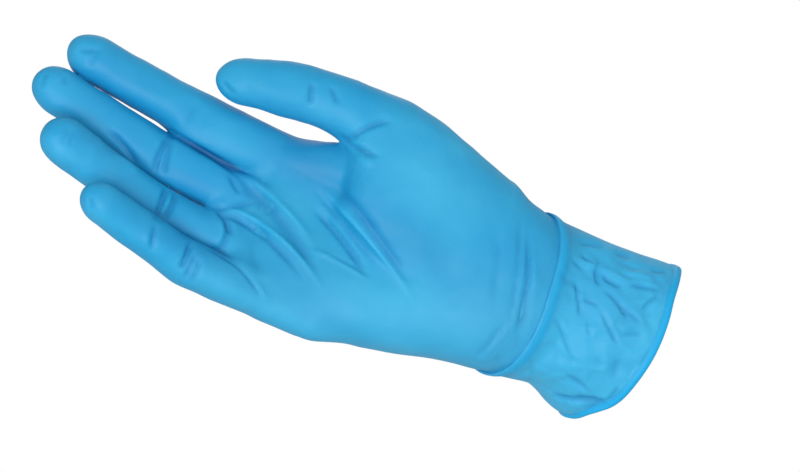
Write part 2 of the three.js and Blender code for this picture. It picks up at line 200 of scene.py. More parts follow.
def trunk_centre(s):
    """The trunk's centre line at distances s from the mouth."""
    steps = 40
    s = np.atleast_1d(np.asarray(s, float))
    at = (np.arange(steps) + 0.5) / steps * s[:, None]
    start = CUFF_LENGTH - WRIST_BEND / 2
    share = 1 - smoothstep(at, start, start + WRIST_BEND)
    lean, rise = np.radians(CUFF_LEAN * share), np.radians(CUFF_RISE * share)
    step = np.stack([-np.cos(lean) * np.cos(rise), -np.sin(lean), -np.sin(rise)], axis=-1)
    return (step * (s / steps)[:, None, None]).sum(axis=1)


PALM_UP = np.array([0, math.sin(rad(PALM_ROLL)), math.cos(rad(PALM_ROLL))])
PALM_FRONT = np.array([0, -math.cos(rad(PALM_ROLL)), math.sin(rad(PALM_ROLL))])
PALM_ORIGIN = trunk_centre(CUFF_LENGTH + WRIST_BEND / 2)[0]
PALM_ORIGIN[0] = trunk_centre(CUFF_LENGTH)[0][0]


def palm_point(along, across, ahead):
    """A place in the palm: along it in millimetres, across and ahead as shares of its breadth and depth."""
    place = PALM_ORIGIN + np.array([-along, 0, 0])
    return place + across * PALM_BREADTH * PALM_UP + ahead * PALM_DEPTH * PALM_FRONT


def trunk_body(start, end):
    """Sections of the trunk between two distances from the mouth."""
    rows = [dict(zip(STATION_COLUMNS, row)) for row in STATIONS]
    t = [row["of"][0] + row["at"] * row["of"][1] for row in rows]
    s = np.arange(start, end + TRUNK_STEP / 2, TRUNK_STEP)

    def column(name, scale=None):
        values = [row[name] * (row["of"][scale] if scale else 1) for row in rows]
        return curve(t, values, s)

    lean, slant, roll = (np.radians(column(name)) for name in ("lean", "slant", "roll"))
    return {
        "s": s,
        "centre": trunk_centre(s),
        "up": unit(np.stack([np.sin(slant), np.sin(roll), np.cos(roll)], axis=-1)),
        "front": unit(np.stack([np.sin(lean), -np.cos(lean) * np.cos(roll), np.sin(roll)], axis=-1)),
        "high": column("high", 2),
        "low": column("low", 2),
        "ahead": column("front", 3),
        "behind": column("back", 3),
        "hollow": column("hollow", 3),
        "round": column("round"),
        "start_cap": None,
        "end_cap": column("front", 3)[-1],
    }


def path_through(points, count):
    """A smooth line through points, evenly spaced, with its directions."""
    points = np.asarray(points, float)
    ends = np.vstack([2 * points[0] - points[1], points, 2 * points[-1] - points[-2]])
    t = np.linspace(0, len(points) - 1, LINE_STEPS)
    i = np.minimum(t.astype(int), len(points) - 2)
    u = (t - i)[:, None]
    a, b, c, d = ends[i], ends[i + 1], ends[i + 2], ends[i + 3]
    line = 0.5 * (2 * b + (c - a) * u + (2 * a - 5 * b + 4 * c - d) * u**2 + (3 * b - a - 3 * c + d) * u**3)
    run = np.concatenate([[0], np.cumsum(np.linalg.norm(np.diff(line, axis=0), axis=1))])
    at = np.linspace(0, run[-1], count)
    line = np.stack([np.interp(at, run, line[:, k]) for k in range(3)], axis=-1)
    return line, unit(np.gradient(line, axis=0)), at


def digit_body(points, sections, width, depth, taper, web, web_span):
    """Sections of the thumb or a finger along a line, up to where its round tip starts."""
    line, ahead, at = path_through(points, DIGIT_STEPS)
    length = at[-1]
    barrel = length - TIP_SHARE * width
    keep = at <= barrel
    line, ahead, at = line[keep], ahead[keep], at[keep]
    up = unit(PALM_UP - (ahead @ PALM_UP)[:, None] * ahead)
    t, wide, deep, lower = zip(*sections)
    half = curve(t, wide, at / length) * width / 2 * (1 + taper * smoothstep(at / length, *TAPER_SPAN))
    thick = curve(t, deep, at / length) * depth / 2
    return {
        "s": at, "centre": line, "up": up, "front": np.cross(up, ahead),
        "high": half, "low": half * curve(t, lower, at / length),
        "ahead": thick, "behind": thick, "hollow": half * 0, "round": half * 0 + DIGIT_ROUND,
        "start_cap": ROOT_CAP, "end_cap": TIP_SHARE * width,
        "blend": FINGER_BLEND + (web - FINGER_BLEND) * (1 - smoothstep(at / length, *web_span)),
    }


def finger_points(finger):
    """A finger's knuckle, joints and tip, and the middle of each bone between them."""
    points = [palm_point(finger["along"] * PALM_LENGTH, finger["across"], finger["ahead"])]
    curl = turn = 0
    for j in range(3):
        curl += finger[f"curl{j + 1}"]
        turn += (finger["spread"], -finger["sweep"], 0)[j]
        bone = (JOINT_SHARES[j + 1] - JOINT_SHARES[j]) * finger["length"]
        step = (
            np.array([-math.cos(rad(curl)) * math.cos(rad(turn)), 0, 0])
            + PALM_FRONT * math.sin(rad(curl))
            - PALM_UP * math.cos(rad(curl)) * math.sin(rad(turn))
        )
        points += [points[-1] + step * bone / 2, points[-1] + step * bone]
    return points


def digit_bodies():
    """The thumb and the four fingers."""
    path = [palm_point(along * THUMB_LENGTH, across, ahead) for along, across, ahead in THUMB_PATH]
    bodies = [digit_body(path, THUMB_SECTIONS, THUMB_WIDTH, THUMB_DEPTH, 0, THUMB_BLEND, THUMB_WEB_SPAN)]
    for row in FINGERS:
        finger = dict(zip(FINGER_COLUMNS, row))
        sections = INDEX_SECTIONS if row is FINGERS[0] else FINGER_SECTIONS
        width, depth = FINGER_WIDTH * finger["wide"], FINGER_DEPTH * finger["deep"]
        span = (finger["web_from"], finger["web_to"])
        points = finger_points(finger)
        bodies.append(digit_body(points, sections, width, depth, finger["taper"], finger["web"], span))
    return bodies


def place_on(points, body):
    """Where points lie along a swept body, as a fractional row of its table, and how far past each end."""
    normal = unit(np.cross(body["front"], body["up"]))
    centre = body["centre"]
    row = np.zeros(len(points))
    last = (points - centre[0]) @ normal[0]
    before = np.maximum(-last, 0)
    for k in range(1, len(centre)):
        now = (points - centre[k]) @ normal[k]
        row += np.clip(last / np.maximum(last - now, 1e-6), 0, 1)
        last = now
    return row, before, np.maximum(last, 0)


def swept(points, body):
    """Signed distance, roughly, of points from a swept body, and their rows in its table."""
    row, before, after = place_on(points, body)
    rows = np.arange(len(body["centre"]))

    def at(name):
        value = body[name]
        if value.ndim == 1:
            return np.interp(row, rows, value)
        return np.stack([np.interp(row, rows, value[:, k]) for k in range(3)], axis=-1)

    up, front = at("up"), at("front")
    away = points - at("centre")
    both = (up * front).sum(axis=1)
    u, f = (away * up).sum(axis=1), (away * front).sum(axis=1)
    across, ahead = (u - both * f) / (1 - both**2), (f - both * u) / (1 - both**2)
    reach_up = np.where(across > 0, at("high"), at("low"))
    side = across / reach_up
    dish = at("hollow") * np.exp(-(((side - HOLLOW_AT) / HOLLOW_SPREAD) ** 2))
    reach_front = np.where(ahead > 0, at("ahead") - dish, at("behind"))
    power = at("round")
    rho = (np.abs(side) ** power + np.abs(ahead / reach_front) ** power) ** (1 / power)
    radius = np.hypot(across, ahead)
    past, cap = after, body["end_cap"]
    if body["start_cap"]:
        past = np.where(before > 0, before, after)
        cap = np.where(before > 0, body["start_cap"], body["end_cap"])
    rho = np.hypot(rho, past / cap)
    radius = np.hypot(radius, past)
    return radius * (1 - 1 / np.maximum(rho, 1e-3)), row


def soft_min(a, b, blend):
    """The smaller of two distances, rounded over where they are about the same."""
    h = np.clip(0.5 + 0.5 * (b - a) / blend, 0, 1)
    return b * (1 - h) + a * h - blend * h * (1 - h)


def hand_field(points, trunk, digits):
    """The film's outer face round palm and fingers, as a signed distance."""
    field, _ = swept(points, trunk)
    for body in digits:
        low = body["centre"].min(axis=0) - FIELD_MARGIN
        high = body["centre"].max(axis=0) + FIELD_MARGIN
        near = np.flatnonzero(((points > low) & (points < high)).all(axis=1))
        distance, row = swept(points[near], body)
        blend = np.interp(row, np.arange(len(body["blend"])), body["blend"])
        field[near] = soft_min(field[near], distance, blend)
    return field


CORNERS = [(i, j, k) for i in (0, 1) for j in (0, 1) for k in (0, 1)]
CELL_EDGES = [
    (a, b)
    for a in range(8)
    for b in range(a + 1, 8)
    if sum(abs(p - q) for p, q in zip(CORNERS[a], CORNERS[b])) == 1
]


def sampled(grid, where):
    """Values of a grid at fractional places, by straight lines between its points."""
    where = np.clip(where, 0, np.array(grid.shape[:3]) - 1.001)
    base = where.astype(int)
    part = where - base
    total = 0
    for corner in CORNERS:
        weight = np.prod([part[:, a] if corner[a] else 1 - part[:, a] for a in range(3)], axis=0)
        value = grid[base[:, 0] + corner[0], base[:, 1] + corner[1], base[:, 2] + corner[2]]
        total = total + (value * weight if value.ndim == 1 else value * weight[:, None])
    return total


def all_places(axes):
    """Every place of a grid with these axes, one to a row."""
    return np.stack(np.meshgrid(*axes, indexing="ij"), axis=-1).reshape(-1, 3)


def surface_net(low, high, cell, field_of, level):
    """Vertices and four-sided faces of the surface where a field has a level."""
    steps = [COARSE * math.ceil((b - a) / cell / COARSE) for a, b in zip(low, high)]
    axes = [a + cell * np.arange(n + 1) for a, n in zip(low, steps)]
    shape = tuple(len(axis) for axis in axes)
    rough_shape = tuple(len(axis[::COARSE]) for axis in axes)
    rough = field_of(all_places([axis[::COARSE] for axis in axes])).reshape(rough_shape)
    where = all_places([np.arange(n) / COARSE for n in shape])
    grid = np.concatenate([sampled(rough, part) for part in np.array_split(where, ROUGH_BATCHES)]) - level
    near = np.flatnonzero(np.abs(grid) < COARSE * cell)
    batches = np.array_split(near, EXACT_BATCHES)
    exact = [field_of(np.array(low) + where[part] * COARSE * cell) for part in batches]
    grid[near] = np.concatenate(exact) - level
    grid = grid.reshape(shape)
    inside = grid < 0
    parts = [tuple(slice(c, n - 1 + c) for c, n in zip(corner, shape)) for corner in CORNERS]
    count = sum(inside[part].astype(int) for part in parts)
    cells = np.argwhere((count > 0) & (count < 8))
    number = np.full(tuple(n - 1 for n in shape), -1)
    number[tuple(cells.T)] = np.arange(len(cells))
    values = np.stack([grid[tuple((cells + corner).T)] for corner in np.array(CORNERS)], axis=-1)
    total, crossings = np.zeros((len(cells), 3)), np.zeros(len(cells))
    for a, b in CELL_EDGES:
        cut = (values[:, a] < 0) != (values[:, b] < 0)
        share = values[cut, a] / (values[cut, a] - values[cut, b])
        start, end = np.array(CORNERS[a]), np.array(CORNERS[b])
        total[cut] += start + share[:, None] * (end - start)
        crossings[cut] += 1
    places = cells + total / crossings[:, None]
    faces = []
    for axis in range(3):
        others = [a for a in range(3) if a != axis]
        first = [slice(None)] * 3
        second = [slice(None)] * 3
        first[axis], second[axis] = slice(0, -1), slice(1, None)
        for a in others:
            first[a] = second[a] = slice(1, -1)
        one, two = inside[tuple(first)], inside[tuple(second)]
        at = np.argwhere(one != two)
        flip = one[tuple(at.T)]
        for a in others:
            at[:, a] += 1
        step = np.eye(3, dtype=int)
        p, q = step[others[0]], step[others[1]]
        quad = np.stack([number[tuple((at - o).T)] for o in (p + q, q, 0 * p, p)], axis=-1)
        if axis == 1:
            flip = ~flip
        quad[~flip] = quad[~flip][:, ::-1]
        faces.append(quad)
    faces = np.vstack(faces)
    slope = np.stack(np.gradient(grid), axis=-1)
    for _ in range(SMOOTHING_ROUNDS):
        places = settle(places, faces, grid, slope)
    return places * cell + np.array([axis[0] for axis in axes]), faces


def settle(places, faces, grid, slope):
    """Evens out the vertices of a net and puts them back on the surface."""
    total, count = np.zeros_like(places), np.zeros(len(places))
    for k in range(4):
        a, b = faces[:, k], faces[:, (k + 1) % 4]
        for one, two in ((a, b), (b, a)):
            for axis in range(3):
                total[:, axis] += np.bincount(one, places[two, axis], len(places))
            count += np.bincount(one, minlength=len(places))
    places = (1 - SMOOTHING) * places + SMOOTHING * total / count[:, None]
    value, rise = sampled(grid, places), sampled(slope, places)
    step = value / np.maximum((rise**2).sum(axis=1), 1e-3)
    return places - np.clip(step, -LONGEST_STEP, LONGEST_STEP)[:, None] * rise


def cut_open(vertices, faces, at, normal):
    """What lies on the normal's side of a plane through a closed net, with its edge loop in order."""
    mesh = bpy.data.meshes.new("cut")
    mesh.from_pydata(vertices.tolist(), [], faces.tolist())
    work = bmesh.new()
    work.from_mesh(mesh)
    bpy.data.meshes.remove(mesh)
    everything = work.verts[:] + work.edges[:] + work.faces[:]
    bmesh.ops.bisect_plane(work, geom=everything, plane_co=at, plane_no=normal, clear_inner=True)
    rim = [v for v in work.verts if v.is_boundary]
    bmesh.ops.remove_doubles(work, verts=rim, dist=MERGE_WITHIN)
    work.verts.index_update()
    vertices = np.array([v.co[:] for v in work.verts])
    faces = [[v.index for v in face.verts] for face in work.faces]
    beside = {}
    for v in work.verts:
        if v.is_boundary:
            beside[v.index] = [edge.other_vert(v).index for edge in v.link_edges if edge.is_boundary]
    work.free()
    start = min(beside)
    loop, last = [start], None
    while True:
        here = loop[-1]
        onward = [n for n in beside[here] if n != last]
        if onward[0] == start and len(loop) > 2:
            break
        last = here
        loop.append(onward[0])
    return vertices, faces, np.array(loop)


def section_at(s, body):
    """The trunk's section at one distance from the mouth."""
    row = np.interp(s, body["s"], np.arange(len(body["s"])))
    rows = np.arange(len(body["s"]))
    found = {}
    for name in ("centre", "up", "front", "high", "low", "ahead", "behind", "hollow", "round"):
        value = body[name]
        if value.ndim == 1:
            found[name] = float(np.interp(row, rows, value))
        else:
            found[name] = np.array([np.interp(row, rows, value[:, k]) for k in range(3)])
    return found


def bearings(points, section):
    """The angle of each point round a section."""
    away = points - section["centre"]
    both = section["up"] @ section["front"]
    u, f = away @ section["up"], away @ section["front"]
    across, ahead = (u - both * f) / (1 - both**2), (f - both * u) / (1 - both**2)
    reach_up = np.where(across > 0, section["high"], section["low"])
    reach_front = np.where(ahead > 0, section["ahead"], section["behind"])
    return np.arctan2(ahead / reach_front, across / reach_up)


def ring_at(section, angle, grow):
    """Places round a section at these angles, grown outwards by a distance."""
    c, f = np.cos(angle), np.sin(angle)
    power = section["round"]
    size = (np.abs(c) ** power + np.abs(f) ** power) ** (-1 / power)
    across, ahead = c * size, f * size
    reach_up = np.where(c > 0, section["high"], section["low"]) + grow
    reach_front = np.where(f > 0, section["ahead"], section["behind"]) + grow
    sideways = section["centre"] + (reach_up * across)[:, None] * section["up"]
    return sideways + (reach_front * ahead)[:, None] * section["front"]


# The fold across the wrist: from the mouth over a lip, back under itself and on towards the palm.
# Columns: distance from the lip, rise.
PLEAT_AT = 43.0
PLEAT = [
    (-6.4, 0.0), (-5.0, 0.06), (-3.9, 0.22), (-3.0, 0.48), (-2.3, 0.76), (-1.6, 0.96), (-0.9, 1.02),
    (-0.4, 0.94), (0.0, 0.72), (0.14, 0.46), (0.02, 0.2), (-0.3, 0.0), (-0.42, -0.22), (-0.1, -0.42),
    (0.5, -0.48), (1.4, -0.36), (2.8, -0.12), (4.6, 0.0),
]
# How the rim stands back from the mouth's plane. Columns: angle, distance back.
RIM = [
    (0, -2.0), (16, 0.25), (34, 2.25), (48, 3.0), (62, 2.25), (75, 1.3), (90, 0.25), (105, -0.4),
    (122, -1.0), (132, -0.5), (140, 0.7), (150, 1.75), (163, 1.7), (175, 2.2), (200, 1.0), (230, 0.2),
    (270, 0.6), (320, 0.2), (345, -1.0), (360, -2.0),
]
RIM_FADE = 15.0
# How the fold across the wrist shifts towards the mouth. Columns: angle, shift.
PLEAT_SHIFT = [
    (0, 0), (80, 0.3), (108, 1.6), (130, 2.2), (155, 2.1), (180, 1.4), (200, 0.5), (230, 0), (360, 0),
]
PLEAT_CORE, PLEAT_SPREAD = 3.0, 12.0
# The rolled bead at the mouth, from the cuff's outside round to its inside.
# Columns: distance from the mouth, rise.
BEAD = [
    (4.2, 0.0), (3.4, -0.06), (2.9, -0.06), (2.6, 0.14), (2.2, 0.42), (1.7, 0.6), (1.1, 0.62), (0.6, 0.48),
    (0.2, 0.2), (0.0, -0.2), (0.1, -0.62), (0.45, -0.98), (1.1, -1.22), (2.0, -1.25), (2.9, -1.1),
]
# Rings of the cuff: their steps, and the gaps before the fold and bead, after the bead and before the join.
RING_STEP, INNER_STEP = 0.7, 5.0
RING_GAP, BEAD_GAP, JOIN_GAP = 0.3, 1.2, 1.0
JOIN_FADE = 14.0

# Where the film looks double, as distances from the fold's lip and from the mouth.
LIP_SHARE, LIP_FROM, LIP_TO, BEAD_TO = 0.7, (-3.4, -1.8), (-0.6, 0), (2.2, 3.4)

# Corners of the cuff that stand off the wrist. Columns: angle, spread, rise, length.
FLARES = [(172, 26, 0.3, 15), (-2, 15, 1.5, 13)]
FLARE_FROM = 1.0

# Small crumples of the loose cuff, and the fine unevenness of the film on the hand.
CRUMPLE_SIZE, CRUMPLE_RISE, CRUMPLE_STRETCH = 9.0, 0.55, (0.7, 1, 1)
FILM_SIZE, FILM_RISE, FILM_SHIFT = 16.0, 0.16, 90
SHARPNESS, FINER, FINER_SHARE = 3, 2.3, 0.4

# How much the film faces the viewer where its folds, crumples, painted crease shade and ridge highlight,
# and painted patches of light and shade fade in.
FACING, CRUMPLE_SPAN, FOLD_SHADE_SPAN, PALE_AND_SHADE_SPAN = (0.05, 0.4), (0, 0.5), (-0.35, 0.05), (-0.5, 0.2)
# The cuff is loose from the wrist to the mouth, between these places in x, apart from its fold and bead.
LOOSE_SPAN, LOOSE_BAND, PLAIN_BAND = (-36, -22), (0.0, 0.3), 0.1

# A fold is a bowed line seen from the front, cut into pieces. Its ends fade over a share of its length,
# and the side across from its steep one is wider by a share. What else lifts the film adds painted shade in
# its hollows and painted highlight on its rises, by a share.
FOLD_PIECES, FOLD_FADE, FOLD_REACH, GENTLE_SIDE, LIFT_SHADE_SHARE = 12, 0.3, 3, 0.5, 0.5
# Columns: x and z of the ends, bow, rise, breadth, and how steep one side is.
FOLDS = [
    # palm: the edge of the ball of the thumb and the pulls from its web towards the wrist
    (-119, 4.4, -71, -19.4, 1.6, -1.0, 1.7, 0.35),
    (-121, 0, -68, -21.2, 1.6, 1.2, 1.3, 0.3),
    (-120, -1.6, -85, -16, -0.7, -0.8, 1.3, 0.3),
    (-118, -4, -88, -18, 0, 0.5, 1.3, 0.2),
    (-118, -8, -88, -21, 0.9, -1.1, 1.4, 0.4),
    (-113, -22, -86, -21.6, 1.0, 0.6, 0.9, 0.2),
    (-104, -20, -86, -20.2, 0.3, -0.4, 0.9, 0.2),
    # palm: pulls from the webs between the fingers
    (-152, -9.5, -108, -21, 3.1, 1.0, 1.3, 0.3),
    (-150, -10.5, -100, -31, 3.4, -1.1, 2.2, 0),
    (-148, -22.5, -98, -33, 4.8, 1.3, 1.1, 0.35),
    (-150, -25.5, -106, -33, 4.3, -1.1, 1.1, 0.2),
    (-145, -38, -116, -45, 3.2, -1.4, 1.0, 0.4),
    (-140, -36.5, -113, -45, 1.6, 0.8, 1.0, 0.2),
    # folds of the fingers' roots
    (-180, -8.2, -136, -11.4, 1.1, -0.9, 0.9, 0),
    (-147.5, -11, -140, -16, -0.6, -0.8, 1.0, 0.3),
    (-150, -25, -134, -14.5, -1.7, -1.0, 1.0, 0.2),
    (-147, -24.5, -136, -31, 1.6, -1.2, 1.1, 0.3),
    (-142.5, -24.5, -138.4, -38, 2.4, -1.0, 1.0, 0.2),
    (-144.5, -26.5, -140, -36, 2.0, 0.5, 1.1, 0),
    # middle and ring fingers: creases over the joints
    (-171, -7, -169.5, -25, -1.6, -1.5, 0.95, 0),
    (-170.6, -8, -167, -24, -0.4, -1.2, 0.95, 0),
    (-164.5, -24, -162.5, -38.5, 0.3, -1.6, 1.0, 0),
    (-160.8, -24, -160.8, -38, 1.2, -1.3, 1.0, 0),
    (-162.4, -26, -162, -36, 0.6, 0.5, 1.0, 0),
    (-193, -17.6, -175, -25.4, 0.9, -1.2, 1.3, 0.4),
    (-186, -22.4, -174, -27, 0.6, 0.6, 2.0, 0),
    (-204.6, -22, -203.4, -31, 0.3, -0.5, 1.0, 0.2),
    (-202, -22, -201, -30, 0.3, -0.4, 1.0, 0.2),
    (-219.4, -9.4, -218.4, -16.4, -0.6, -0.6, 1.05, 0.2),
    (-213.6, -7.4, -212.4, -11.4, 0.2, -0.45, 1.05, 0.2),
    # index: flattened patch at the tip
    (-214.5, 2.2, -207.6, 5.6, -1, -0.68, 1.2, 0.2),
    (-207.4, -3, -206.4, 8, 0.4, -0.54, 1.05, 0.2),
    (-169.6, -5, -168.6, 6, -0.3, -0.41, 1.2, 0),
    # little finger
    (-161.8, -38, -158.6, -49, 0, -0.9, 1.0, 0.2),
    (-163.8, -42, -157.4, -51, 0, 0.5, 1.0, 0),
    (-148.2, -37, -146.6, -49.5, 0.3, -1.5, 1.0, 0.2),
    (-145.2, -40, -143.8, -52, 0.3, -1.0, 0.95, 0),
    (-142.6, -41, -141.4, -52, 0.2, -0.9, 0.95, 0),
    (-186.6, -40.4, -183, -45, -0.4, -0.55, 1.05, 0.2),
    # thumb and its web
    (-122, 18.6, -103, 18.4, -1.6, -1.2, 1.1, 0.3),
    (-121, 14.6, -109, 21.6, -0.6, 0.6, 1.0, 0),
    (-137, 30.8, -133.2, 21.8, -0.5, -1.01, 1.05, 0.3),
    (-131.2, 31.8, -125.4, 26.6, 0.4, -0.81, 1.05, 0.3),
    (-165.4, 16.2, -158, 13.2, -0.5, -0.68, 1.05, 0.3),
    (-116.6, 17.6, -105.4, 31.6, 1.4, -1.08, 1.2, 0.3),
    (-118, 18.6, -114, 20.2, 0.2, -0.54, 1.05, 0.3),
    (-112.4, 14, -104, 15.4, -0.5, 0.54, 1.4, 0),
    # wrist, on the palm's side of the fold
    (-52, 24, -36, -17, 1.2, -1.0, 0.9, -0.3),
    (-50.5, 22, -36, -16, 1.1, 0.5, 1.1, 0),
    (-48, 21, -33.5, -20, 3.2, -1.2, 0.9, -0.3),
    (-46, 19, -32.4, -18, 3.2, 0.5, 1.0, 0),
    (-32.8, -10, -37.6, -29, 1.6, -0.9, 0.9, -0.3),
    (-39, -10, -43.4, -30, 1.0, -0.75, 0.9, -0.3),
    (-37.8, -10, -42, -29, 1.2, 0.4, 1.0, 0),
    (-57, 16, -45, -12, 1.2, -0.4, 1.6, -0.2),
    # cuff: crumples
    (-25.4, 12.6, -16.8, 1, 0.3, -1.0, 1.0, 0.4),
    (-20.4, 22, -15.4, 13.6, -1.4, -1.0, 1.0, 0.4),
    (-16.4, 13.7, -1.2, 7.3, 1.6, -0.9, 1.1, 0.45),
    (-17.8, 19.3, -8.4, 18.7, -1.3, -1.0, 0.9, -0.4),
    (-9.2, 19.1, 4, 23.4, 0.3, -0.9, 1.0, -0.4),
    (-12.4, 22, 0.6, 24.9, 0.5, 0.8, 1.0, 0.3),
    (3.8, 22, 0.4, 13.6, -0.6, -1.0, 0.9, 0.4),
    (-20.4, 7, -12.6, 7.9, 0.4, -0.8, 0.9, 0.3),
    (-13.2, 7.9, 0.2, -1.8, -0.3, -0.95, 0.9, 0.45),
    (-14.2, 2.4, -10.5, -2.4, -0.9, -0.75, 0.8, 0.3),
    (-26.8, -1, -10, -15.6, 0.5, -0.8, 0.8, 0.4),
    (-15, -17.6, 2, -20.1, -0.3, -0.6, 0.9, 0.3),
    (-15.4, -26.8, 5, -19.2, -1.4, -1.3, 1.2, 0.45),
    (-4, -26.2, 6, -19, -1.2, -0.8, 1.1, 0.3),
    (5.6, -12.6, 4, -20, 0.5, -0.9, 0.9, 0.3),
    (-7.4, 10.6, 3.4, 9.2, 0.7, -0.8, 0.9, 0.3),
    (-2.4, 1.6, 6.4, 6.4, 0.9, -0.7, 0.9, 0.3),
    (-7, 5.2, -1, 2.4, 0.5, -0.5, 0.9, 0.3),
    (-30.4, 23.6, -19.4, 26.8, 0.7, -0.8, 1.0, 0.3),
    (-27.4, 20.4, -21, 19.2, 0.6, -0.7, 0.8, 0.3),
    (-23.4, 16.4, -20.2, 21.6, 0.6, 0.8, 1.4, 0.3),
    (-29.4, 17.2, -23.6, 16, 0.6, -0.6, 0.8, 0.3),
    (-32, 13, -24, 8, 0.6, -0.4, 1.4, 0.0),
    (-18, 26.6, -10, 27.6, 0.5, -0.6, 1.0, 0.2),
    (-4, 26.4, 3.6, 29.4, 0.5, -0.7, 1.0, 0.3),
    (-22.6, -8, -15.6, -17, 0.4, -0.35, 1.4, 0.0),
    (-26, -18, -22, -25, 0.6, -0.5, 1.4, 0.3),
    (-10, -6, -1, -12, 0.6, -0.4, 1.4, 0.0),
    (1, -4, 4, -12, -0.5, -0.4, 1.4, 0.0),
]
# Where the film lies tight on the hand and looks paler, in part painted light on bulges, pads and edges,
# and painted shade in grooves, hollows and gaps between fingers. Columns: x and z seen from the front,
# length, height, paleness (below zero, painted shade).
PALE_AND_SHADE_PATCHES = [
    (-123, 4, 14, 8, -1.2), (-86, -2, 17, 6, -0.45), (-74, -3, 14, 7, -0.3), (-88, 19, 20, 9, 0.6),
    (-80, -29, 24, 9, 0.4), (-69, -18, 13, 7, 0.4), (-50, -22, 14, 10, 0.2), (-150, -40, 30, 4.5, -1.0),
    (-190, -24, 18, 4, -0.5), (-150, -28, 12, 4, -0.3), (-185, -16, 14, 5, -0.3), (-160, -20, 12, 3, -0.45),
    (-190, 2, 22, 5, -0.3), (-216, -14, 7, 6, 0.35), (-213, 0, 5, 5, 0.4), (-205, -32, 9, 4, 0.35),
    (-182, -46, 8, 4, 0.35), (-155, 20, 10, 5, -0.3), (-125, 22, 12, 4, 0.3), (-80, 34, 16, 3.5, 0.3),
    (-60, 22, 14, 8, 0.1), (-18, 13, 13, 9, -0.5), (-3, 8, 7, 6, -0.35), (-12, -4, 10, 7, -0.15),
    # Below, painted shadow in the slit between index and middle fingers and painted shade along the edge of
    # the thumb's ball.
    (-156, -8.9, 17, 1.3, -3.8), (-104, 0, 5, 1.9, -0.6), (-97, -3.6, 5, 1.9, -0.7),
    (-90, -7, 5, 1.7, -0.5), (-83, -10.5, 5, 1.5, -0.4), (-76, -14.5, 4, 1.4, -0.35),
    (-105, -46, 30, 4, 0.35), (-123, -38.6, 9, 2.4, 0.6), (-65, -37, 12, 4, 0.3), (-118, -28, 14, 6, -0.35),
    (-192, -5.6, 14, 1.2, -0.8),
]
# Plain low folds on the back of the hand, wrist and cuff, with the same columns as the folds of the front.
BACK_FOLDS = [
    (-26, 20, -6, 4, 1.6, -0.9, 1.4, 0.3), (-22, 4, -4, -8, -1.4, -0.9, 1.4, 0.3),
    (-28, -6, -12, -20, 1.2, -0.9, 1.4, 0.3), (-10, 22, 4, 15, 0.8, -0.8, 1.2, 0.3),
    (-12, -4, 2, -18, 0.8, -0.7, 1.3, 0.3), (-30, 14, -24, 2, 0.8, -0.6, 1.3, 0.3),
    (-54, 18, -48, -10, 2.2, -0.8, 1.2, -0.3), (-60, 12, -55, -16, 2.2, -0.6, 1.4, -0.2),
    (-118, 8, -96, 2, 0.6, -0.5, 2.2, 0.0), (-122, -12, -98, -10, 0.6, -0.5, 2.2, 0.0),
    (-120, -28, -98, -22, 0.6, -0.5, 2.2, 0.0), (-170, 6, -168, -6, 0.6, -0.5, 1.1, 0.2),
    (-172, -10, -171, -20, 0.6, -0.5, 1.1, 0.2), (-163, -27, -161, -35, 0.6, -0.5, 1.1, 0.2),
    (-150, -41, -148, -49, 0.6, -0.5, 1.1, 0.2), (-136, 31, -132, 24, 0.6, -0.5, 1.1, 0.2),
]


def film_rings(trunk, loop_places):
    """Rings of the cuff from the hand's cut edge out to the mouth and back inside.

    Returns the rings, their outward directions and how double the film looks on them.
    """
    join = section_at(JOIN_AT, trunk)
    own = np.unwrap(bearings(loop_places, join))
    even = own[0] + np.linspace(0, 2 * math.pi, len(own), endpoint=False)
    even += (own - even).mean()
    miss = loop_places - ring_at(join, own, 0)
    lip = [(PLEAT_AT + at, rise, 1) for at, rise in PLEAT[::-1]]
    wrist = [(s, 0, 1) for s in np.arange(JOIN_AT, lip[0][0] + RING_GAP, -RING_STEP)[1:]]
    cuff = [(s, 0, 1) for s in np.arange(lip[-1][0] - RING_STEP, BEAD[0][0] + RING_GAP, -RING_STEP)]
    bead = [(at, rise, 1) for at, rise in BEAD]
    inside = [(s, -FILM, 0) for s in np.arange(BEAD[-1][0] + BEAD_GAP, JOIN_AT - JOIN_GAP, INNER_STEP)]
    rings, outward, bands = [], [], []
    turn, back = zip(*RIM)
    pleat_turn, pleat_back = zip(*PLEAT_SHIFT)
    for s, rise, outer in wrist + lip + cuff + bead + inside:
        near = float(smoothstep(s, JOIN_AT - JOIN_FADE, JOIN_AT))
        angle = even + (own - even) * near
        degrees = np.mod(np.degrees(angle), 360)
        shift = curve(turn, back, degrees) * (1 - smoothstep(s, 0, RIM_FADE))
        nearness = 1 - smoothstep(abs(s - PLEAT_AT), PLEAT_CORE, PLEAT_SPREAD)
        shift = shift - curve(pleat_turn, pleat_back, degrees) * nearness
        section = section_at(s, trunk)
        on = ring_at(section, angle, 0) - shift[:, None] * unit(np.cross(section["up"], section["front"]))
        out = unit(ring_at(section, angle, 1) - ring_at(section, angle, 0))
        height = np.full(len(angle), float(rise))
        for at, spread, stand, length in FLARES:
            off = np.mod(degrees - at + 180, 360) - 180
            height += stand * np.exp(-((off / spread) ** 2)) * (1 - smoothstep(s, FLARE_FROM, length))
        rings.append(on + out * height[:, None] + miss * near**2)
        outward.append(out)
        bands.append(np.full(len(angle), band_at(s, outer)))
    return rings, outward, bands


def band_at(s, outer):
    """How much of the double film shows here: at the wrist's fold and at the bead."""
    if not outer:
        return 0.0
    from_lip = s - PLEAT_AT
    lip = LIP_SHARE * float(smoothstep(from_lip, *LIP_FROM) * (1 - smoothstep(from_lip, *LIP_TO)))
    return max(lip, float(1 - smoothstep(s, *BEAD_TO)))


